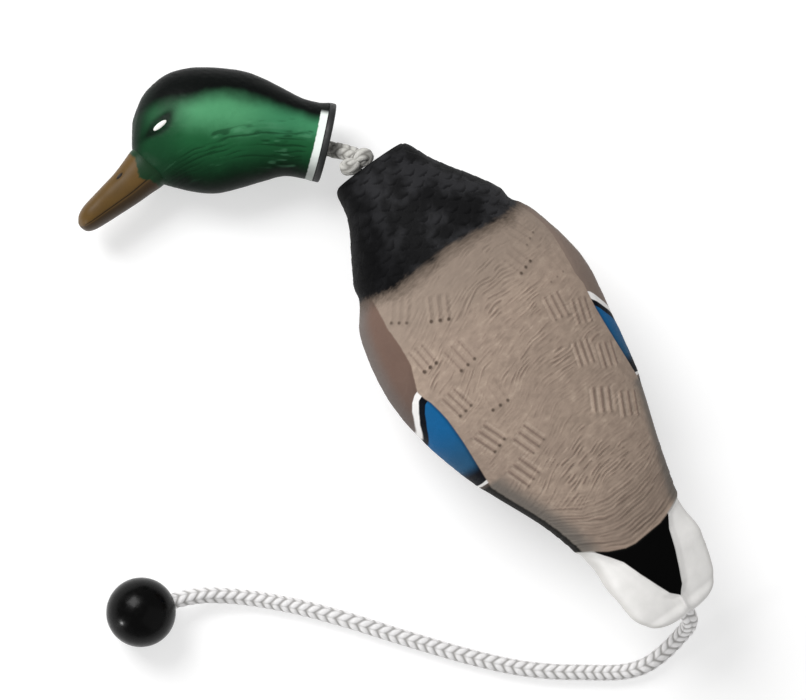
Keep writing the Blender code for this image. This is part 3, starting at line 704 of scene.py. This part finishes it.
def body_paint():
    """Airbrushed foam: brown back, black breast, blue wing panels and a white tail."""
    paint = Paint("painted_foam", 0.62, 0.04)
    wobble = paint.times(paint.sum(paint.noise(2.4 * MM, 3), -0.5), 1.6)
    speckle = paint.noise(0.9 * MM, 3)
    broad = paint.noise(22 * MM, 3)
    places = paint.note("back")

    colour = paint.mix(broad, rgb("918074"), rgb("a69485"))
    blotch = paint.noise(4.5 * MM, 4, (0.8, 1.4, 1))
    colour = paint.mix(paint.ramp(blotch, 0.42, 0.7, 0, 0.5), colour, rgb("85766a"))
    colour = paint.mix(paint.ramp(blotch, 0.45, 0.25, 0, 0.5), colour, rgb("b3a292"))
    # Painted shade in the grooves of the wrinkles and quills, and a painted highlight on their
    # ridges.
    colour = paint.mix(paint.ramp(paint.note("fine"), 0.02, -0.34, 0, 0.75), colour, rgb("75645a"))
    colour = paint.mix(paint.ramp(paint.note("fine"), 0.1, 0.45, 0, 0.5), colour, rgb("b9a899"))
    colour = paint.mix(paint.ramp(places, 218, 262, 0, 0.45), colour, rgb("75685e"))
    colour = paint.mix(paint.ramp(places, 120, 80, 0, 0.7), colour, rgb("84776c"))
    flank = paint.mix(broad, rgb("614e46"), rgb("6e5a50"))
    flank = paint.mix(paint.ramp(paint.note("reach"), -6, 1), flank, rgb("67605c"))
    flank = paint.mix(paint.ramp(places, 100, 140, 0, 0.5), flank, rgb("594c47"))
    # Painted light: the flank on the duck's right is lighter, because it faces the lights.
    flank = paint.mix(paint.ramp(paint.note("side"), -20, -50, 0, 0.5), flank, rgb("8d8076"))
    wing = paint.sum(paint.note("wing"), paint.times(wobble, 0.35))
    behind_panel = paint.ramp(places, 188, 192)
    greyed = paint.times(paint.ramp(wing, -10.5, -1.5, 0, 0.85), behind_panel)
    colour = paint.mix(greyed, colour, rgb("64605b"))
    flank = paint.mix(behind_panel, flank, rgb("12100d"))
    flank = paint.mix(paint.times(behind_panel, paint.ramp(paint.note("reach"), 2, 9)), flank,
                      rgb("494541"))
    colour = paint.mix(paint.ramp(wing, -0.35, 0.5), colour, flank)

    blue = paint.mix(paint.ramp(places, 146, 174), rgb("155c90"), rgb("285272"))
    blue = paint.mix(paint.times(speckle, 0.35), blue, rgb("124a70"))
    blue = paint.mix(paint.ramp(paint.note("wing"), 1.6, 0.2, 0, 0.5), blue, rgb("122c40"))
    panel = paint.mix(paint.ramp(places, 173, 181), blue, rgb("0c0d14"))
    panel = paint.mix(paint.ramp(paint.note("blue_panel"), 0.3, -0.3), panel, rgb("060a12"))
    panel = paint.mix(paint.ramp(paint.note("black_bar"), 0.3, -0.3), panel, rgb("e4e2e0"))
    closing = paint.sum(places, paint.times(paint.note("wing"), -0.2))
    panel = paint.mix(paint.ramp(closing, 186.3, 186.9), panel, rgb("dedcda"))
    panel_area = paint.times(paint.ramp(paint.note("wing"), -0.3, 0.4),
                             paint.ramp(places, 189, 188.4))
    panel_area = paint.times(panel_area, paint.ramp(paint.note("white_bar"), -0.3, 0.3))
    colour = paint.mix(panel_area, colour, panel)

    tail = paint.mix(paint.noise(7 * MM, 3), rgb("dad9d6"), rgb("eceae8"))
    # Painted shadow: a dark line just behind the back's rear edge, where the edge overhangs the
    # tail.
    tail = paint.mix(paint.ramp(paint.note("rear"), 1.6, 0.2, 0, 0.7), tail, rgb("4c4741"))
    # Painted shade: grey on the tail lobes' outer rim, where they turn away from the light.
    tail = paint.mix(paint.ramp(paint.note("reach"), -5, -0.5, 0, 0.35), tail, rgb("a5a29c"))
    tail = paint.mix(paint.ramp(paint.note("vee"), -0.4, 0.4), tail, rgb("020202"))
    colour = paint.mix(paint.ramp(paint.note("rear"), -0.2, 0.5), colour, tail)
    breast = paint.mix(paint.ramp(paint.noise(16 * MM, 4), 0.42, 0.64), rgb("131314"),
                       rgb("29292b"))
    # Painted shade: the breast is darker on the duck's left side, which is turned from the lights.
    breast = paint.mix(paint.ramp(paint.note("side"), 6, 34, 0, 0.75), breast, rgb("030304"))
    # Painted shadow along the rear edge of each feather scale on the breast.
    breast = paint.mix(paint.ramp(paint.note("scales"), 0.72, 0.95, 0, 0.7), breast, rgb("040405"))
    streaks = paint.times(paint.sum(paint.noise(1.8 * MM, 3, (0.8, 3.5, 1)), -0.5), 8.0)
    smoke = paint.ramp(paint.sum(paint.note("breast"), streaks), -11, -0.5, 0, 0.82)
    colour = paint.mix(smoke, colour, rgb("4e443c"))
    edge = paint.ramp(paint.sum(paint.note("breast"), paint.times(streaks, 0.6)), -2.6, 2.2)
    colour = paint.mix(edge, colour, breast)
    # Painted shade in the pits at the quills' rear ends.
    colour = paint.mix(paint.ramp(paint.note("pits"), 0.25, 0.85, 0, 0.8), colour, rgb("3b3028"))
    bump = paint.sum(speckle, paint.times(paint.noise(0.35 * MM, 2), 0.5))
    return paint.finish(colour, bump, 0.07 * MM, paint.ramp(speckle, 0.3, 0.7, 0.55, 0.7))


# ---------------------------------------------------------------- head
NECK_DROP = 3               # the head's own lines lie this far off the rope's
CHEEK_FLAT = 25.6           # from the middle to the flat that the head lies on
HEAD_FRONT = 113.9
HEAD_ROWS = [
    # crown x, crown z, throat x, throat z, half width, in millimetres
    (4.3, 23.5, 4.3, -23.9, 20.8),
    (10.5, 22.2, 10.5, -23.5, 20.0),
    (21, 22.6, 21, -24.8, 20.2),
    (33, 25.6, 33, -31.2, 22.2),
    (46, 28.7, 45, -38.0, 24.6),
    (57, 30.0, 57, -43.8, 25.8),
    (69, 29.0, 69, -45.8, 26.0),
    (80, 27.0, 80, -46.0, 25.2),
    (90, 24.0, 90, -45.4, 23.2),
    (100, 18.4, 99, -42.8, 20.0),
    (107, 10.5, 106, -38.5, 15.8),
    (111.4, 2.4, 110.2, -31.0, 10.6),
    (113.2, -6.0, 112.7, -21.0, 5.0),
    (113.9, -12.5, 113.9, -14.5, 0.6),
]
BILL_ROWS = [
    # ridge x, ridge z, chin x, chin z, half width, in millimetres
    (105.5, -24.0, 84.0, -40.0, 9.5),
    (110.8, -31.0, 88.5, -46.6, 12.2),
    (114.2, -39.0, 94.0, -52.6, 11.6),
    (117.8, -47.0, 100.5, -60.0, 10.8),
    (122.4, -55.0, 108.2, -68.0, 11.0),
    (127.0, -63.0, 115.2, -75.2, 11.8),
    (130.6, -69.6, 121.0, -80.6, 10.8),
    (132.0, -75.0, 125.4, -82.6, 7.4),
    (131.3, -79.4, 129.2, -81.6, 1.2),
]
# Lowest edge of the long cheek feathers: places along the head, height from its middle line
FEATHER_LINE = ((0, 17, 40, 51, 64, 75, 85, 100), (1, -1.7, -7.3, -11.5, -18, -25, -34, -50))
HEAD_FULLNESS = 2.1
BILL_FULLNESS = 2.4
HEAD_FRAME = frame_along(HEAD_BASE, HEAD_AHEAD, HEAD_AHEAD.cross(Vector((0, 0, 1))))


def head_marks(along, up, crown, throat):
    """Signed distances on the head's side, in millimetres; up is from the neck's middle."""
    share = (up - throat) / np.maximum(crown - throat, 1e-6)
    tilt = math.radians(-50)
    eye_x, eye_up = 98.0, -16.0
    across = (along - eye_x) * math.cos(tilt) + (up - eye_up) * math.sin(tilt)
    over = (up - eye_up) * math.cos(tilt) - (along - eye_x) * math.sin(tilt)
    eye = 1 - np.hypot(across / 4.5, over / 1.5)
    hollow = hill(np.hypot(across / 7.5, over / 4.2) - 0.75, 0.45)
    brow = hill(across + 8, 4.5) * hill(over - 2.5, 2.6) + hill(across - 9.5, 5) * hill(over, 2.4)
    return {"share": share, "eye": eye, "hollow": np.minimum(0.8 * hollow + 0.7 * brow, 1),
            "along": along, "up": up}


def make_head_skin(paint):
    row_count, columns = 280, 400
    rows = curve_through(HEAD_ROWS, np.linspace(0, len(HEAD_ROWS) - 1, row_count))
    angles = (np.arange(columns) + 0.5) / columns * 2 * math.pi
    skin = two_rail_grid(rows, angles, HEAD_FULLNESS)
    marks = head_marks(skin[:, :, 0], skin[:, :, 2], rows[:, 1:2], rows[:, 3:4])
    along, up = skin[:, :, 0], skin[:, :, 2]
    below = up - np.interp(along, *FEATHER_LINE)
    flow = below / 3.3 + 0.25 + 0.35 * soft_noise(along / 12, up / 7, 21)
    broken = soft_step(soft_noise(along / 13, below / 2.4, 22), -0.5, 0.5)
    where = soft_step(along, 9, 16) * soft_step(along, 92, 76) * soft_step(below, -22, -8)
    where = where * soft_step(-below, -3, -1)
    ragged = below + 1.2 * soft_noise(along / 8, up / 5, 24)
    patchy = 0.5 + 0.5 * soft_noise(along / 6, up / 4, 25)
    strokes = np.maximum(np.sin(2 * math.pi * flow) * broken, patchy * hill(ragged, 0.8)) * where
    wisps = soft_noise(along / 6, below / 1.5, 26)
    wisps = wisps * soft_step(soft_noise(along / 9, below / 5, 27), -0.4, 0.4)
    wisps = wisps * soft_step(along, 8.5, 13) * soft_step(along, 98, 80)
    wisps = wisps * soft_step(below, -27, -14) * soft_step(-below, -13, -4)
    relief = 0.14 * wisps - 0.3 * strokes
    relief += 0.07 * soft_noise(along / 2.5, up / 1.6, 23) - 0.45 * marks["hollow"]
    relief += 0.9 * soft_step(marks["eye"], -0.2, 0.5)
    relief *= soft_step(HEAD_FRONT - along, 0, 4)
    moved = skin + normals_of(skin) * relief[:, :, None]
    moved[:, :, 2] += NECK_DROP
    moved[:, :, 1] = np.maximum(moved[:, :, 1], -CHEEK_FLAT)
    # The streaks note carries the grooves and the raised wisps, for the painted shade and
    # highlight that follow them.
    marks["streaks"] = np.where(strokes > 0.2, strokes, -wisps)
    head = grid_object("head_skin", moved * MM, paint, notes=marks, shut=True)
    head.matrix_world = HEAD_FRAME
    return head


def make_bill_skin(paint):
    row_count, columns = 160, 120
    rows = curve_through(BILL_ROWS, np.linspace(0, len(BILL_ROWS) - 1, row_count))
    angles = (np.arange(columns) + 0.5) / columns * 2 * math.pi
    skin = two_rail_grid(rows, angles, BILL_FULLNESS)
    skin[:, :, 2] += NECK_DROP
    share = np.repeat(((np.sin(angles) + 1) / 2)[None], row_count, 0)
    length = np.repeat(np.linspace(0, 1, row_count)[:, None], columns, 1)
    nostril = hill(length - 0.36, 0.035) * hill(share - 0.8, 0.045)
    mouth_ends = soft_step(length, 0.08, 0.2) * soft_step(-length, -0.93, -0.86)
    mouth = hill(share - 0.3, 0.022) * mouth_ends
    skin -= normals_of(skin) * (0.8 * nostril + 0.4 * mouth)[:, :, None]
    base = length - 0.155 - 0.09 * hill(share - 0.42, 0.22)
    notes = {"share": share, "base": base, "marks": np.maximum(nostril, 0.6 * mouth)}
    bill = grid_object("bill_skin", skin * MM, paint, notes=notes, shut=True)
    bill.matrix_world = HEAD_FRAME
    return bill


def head_paint():
    """Green sides under a black crown, a white ring at the neck and a white eye."""
    paint = Paint("painted_head", 0.4, 0.05)
    share, along, up = paint.note("share"), paint.note("along"), paint.note("up")
    cloud = paint.times(paint.sum(paint.noise(14 * MM, 3), -0.5), 0.1)
    height = paint.sum(share, cloud)
    # Painted shade: the green darkens to near black towards the throat, below where the light
    # falls.
    green = paint.mix(paint.ramp(height, 0.01, 0.36), rgb("08130c"), rgb("1c512f"))
    # Painted light: a lighter green on the upper cheek, where the light falls.
    lit_green = paint.mix(paint.ramp(along, 28, 58), rgb("3a7c56"), rgb("4a8c62"))
    green = paint.mix(paint.ramp(height, 0.34, 0.6), green, lit_green)
    # Painted shade in the feather grooves, and a painted highlight on the raised wisps between
    # them.
    green = paint.mix(paint.ramp(paint.note("streaks"), 0.1, 0.8, 0, 0.55), green, rgb("0a2915"))
    green = paint.mix(paint.ramp(paint.note("streaks"), -0.1, -0.8, 0, 0.22), green,
                      rgb("5f9975"))
    green = paint.mix(paint.ramp(along, 78, 98, 0, 0.85), green, rgb("143a22"))
    crown = paint.sum(height, paint.ramp(along, 60, 100, 0, 0.08))
    green = paint.mix(paint.ramp(crown, 0.62, 0.82), green, rgb("070a09"))
    green = paint.mix(paint.ramp(along, 102, 111, 0, 0.85), green, rgb("0c1611"))
    # Painted shade in the hollow round the eye and under the brow.
    green = paint.mix(paint.times(paint.note("hollow"), 0.9), green, rgb("050f09"))
    ragged = paint.times(paint.sum(paint.noise(2.2 * MM, 2), -0.5), 1.2)
    ring = paint.times(paint.ramp(paint.sum(along, ragged), 8.9, 8.3), paint.ramp(up, 16.5, 12.5))
    # The ring is white, with painted shade turning it grey on its lower part.
    ring_white_and_shade = paint.mix(paint.ramp(up, -8, -22, 0, 0.8), rgb("dfe6e1"), rgb("868a86"))
    green = paint.mix(ring, green, ring_white_and_shade)
    colour = paint.mix(paint.ramp(paint.note("eye"), -0.06, 0.06), green, rgb("e6e6e0"))
    bump = paint.noise(0.6 * MM, 3)
    return paint.finish(colour, bump, 0.04 * MM, paint.ramp(bump, 0.3, 0.7, 0.34, 0.48))


def bill_paint():
    """Brown bill with the head's green painted a little way on to it."""
    paint = Paint("painted_bill", 0.45, 0.16)
    colour = paint.mix(paint.noise(8 * MM, 3), rgb("4e3a1c"), rgb("5e4620"))
    colour = paint.mix(paint.ramp(paint.note("share"), 0.32, 0.22, 0, 0.8), colour, rgb("33271a"))
    colour = paint.mix(paint.ramp(paint.note("marks"), 0.15, 0.6), colour, rgb("120c07"))
    wander = paint.times(paint.sum(paint.noise(3 * MM, 3), -0.5), 0.06)
    colour = paint.mix(paint.ramp(paint.sum(paint.note("base"), wander), 0.02, -0.01), colour,
                       rgb("113019"))
    bump = paint.noise(0.8 * MM, 3)
    return paint.finish(colour, bump, 0.05 * MM)


def make_head():
    pieces = [make_head_skin(head_paint()), make_bill_skin(bill_paint())]
    for piece in pieces:
        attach(piece, "head")
    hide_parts("head_shell")


# ---------------------------------------------------------------- hard fittings
def black_paint(name, roughness, light, dark, grain, refraction=1.4):
    """Black plastic with slightly uneven gloss."""
    paint = Paint(name, roughness)
    paint.shader.inputs["IOR"].default_value = refraction
    colour = paint.mix(paint.noise(6 * MM, 4), rgb(dark), rgb(light))
    bump = paint.noise(grain, 3)
    return paint.finish(colour, bump, 0.03 * MM,
                        paint.ramp(paint.noise(3 * MM, 4), 0.3, 0.7, roughness * 0.8,
                                   roughness * 1.2))


def make_ball(paint):
    """Glossy ball moulded round the rope's end, with a soft lip at the rope's hole."""
    hole, radius = 5.6, BALL_RADIUS / MM
    near = math.asin((hole + 1) / radius)
    arc = [(radius * math.cos(a), radius * math.sin(a))
           for a in np.linspace(0.001, math.pi - near, 110)]
    end = arc[-1][0]
    inside = [(end + 0.35, hole + 0.3), (end + 1.2, hole), (-3.1, hole), (-1.5, 7.2), (1, 8.5),
              (4, 9), (8, 8), (11.5, 5), (13, 0.01)]
    profile = [(x * MM, y * MM) for x, y in arc + inside]
    placed = frame_along(BALL_CENTRE, BALL_AHEAD, Vector((0, 0, 1)))
    ball = turned("ball_gloss", profile, 128, paint, placed)
    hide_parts("throw_ball")
    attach(ball, "ball")
    return ball


def make_cap(paint):
    """Collar plug with a rounded front edge, round the rope's hole."""
    high, wide, thick, edge, hole = 23.7, 20.9, 4.0, 0.9, 5.8
    angles = (np.arange(128) + 0.5) / 128 * 2 * math.pi

    def oval(along, tall, broad):
        row = np.array([[along, NECK_DROP + tall, along, NECK_DROP - tall, broad]])
        return two_rail_grid(row, angles, HEAD_FULLNESS)[0]

    def ring(along, radius):
        row = np.array([[along, radius, along, -radius, radius]])
        return two_rail_grid(row, angles, 2.0)[0]

    rows = [ring(4.4, hole), ring(1.0, hole), ring(0.2, hole + 0.3), ring(0, hole + 1.2)]
    rows += [oval(0, high - 3, wide - 3)]
    rows += [oval(edge * (1 - math.cos(a)), high - edge * (1 - math.sin(a)),
                  wide - edge * (1 - math.sin(a))) for a in np.linspace(0, math.pi / 2, 6)]
    rows += [oval(thick - 0.3, high, wide), oval(thick, high - 0.3, wide - 0.3),
             oval(thick, high - 3.6, wide - 3.6), oval(12, high - 5, wide - 4.4)]
    cap = grid_object("neck_cap_skin", np.array(rows) * MM, paint)
    cap.matrix_world = HEAD_FRAME
    cap.data.set_sharp_from_angle(angle=math.radians(50))
    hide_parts("neck_cap")
    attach(cap, "head")


def repaint(node, paint):
    """Gives a node of the frame, which nothing replaces, its paint."""
    for slot in frame["nodes"][node].material_slots:
        slot.material = paint


def plain_paint(name, light, dark, roughness, metal=0.0):
    paint = Paint(name, roughness)
    paint.shader.inputs["Metallic"].default_value = metal
    colour = paint.mix(paint.noise(5 * MM, 4), rgb(light), rgb(dark))
    return paint.finish(colour, paint.noise(0.7 * MM, 3), 0.03 * MM)


# ---------------------------------------------------------------- all of it
def build():
    make_camera()
    make_studio()
    cord_paint = rope_paint("rope_white", "fbfafa", "e2e0e0", "a19f9d")
    # The neck rope's paint is a darker copy of the white rope: painted shade for the rope lying
    # between head and body.
    shaded_rope_paint = rope_paint("rope_painted_shade", "d2d1cc", "a4a29c", "7c7a75")
    rope, line = make_throw_rope(cord_paint)
    ball_paint = black_paint("ball_black", 0.25, "030303", "010101", 1.5 * MM, 1.2)
    ball = make_ball(ball_paint)
    ball_placed = frame_along(BALL_CENTRE + BALL_AHEAD * 4 * MM, BALL_AHEAD, Vector((0, 0, 1)))
    ball_knot = make_knot("ball_stop_knot", BALL_KNOT_RADIUS, "ball_knot", "root",
                          ball_placed, cord_paint)
    make_knot("tail_stop_knot", KNOT_RADIUS, "tail_knot", "root",
              Matrix.Translation(TAIL_KNOT), cord_paint)
    neck_knot = make_knot("neck_stop_knot", KNOT_RADIUS, "neck_knot", None,
                          Matrix.Translation(NECK_KNOT + NECK_KNOT_SLIP), shaded_rope_paint,
                          (0.6, 1.35, 1))
    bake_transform(neck_knot)
    make_neck_ropes(shaded_rope_paint)
    make_foam_body(body_paint())
    make_head()
    make_cap(black_paint("cap_black", 0.5, "1f2121", "131414", 0.8 * MM))
    bush = black_paint("bush_black", 0.45, "26282a", "151617", 0.8 * MM)
    for node in ("neck_bush", "tail_bush"):
        repaint(node, bush)
    repaint("core_tube", plain_paint("tube_pale", "c9c8c0", "b5b4ac", 0.5))
    repaint("head_washer", plain_paint("washer_steel", "9a9ca0", "7f8286", 0.35, 1.0))
    for node in ("core_rope", "head_knot"):
        repaint(node, cord_paint)


build()
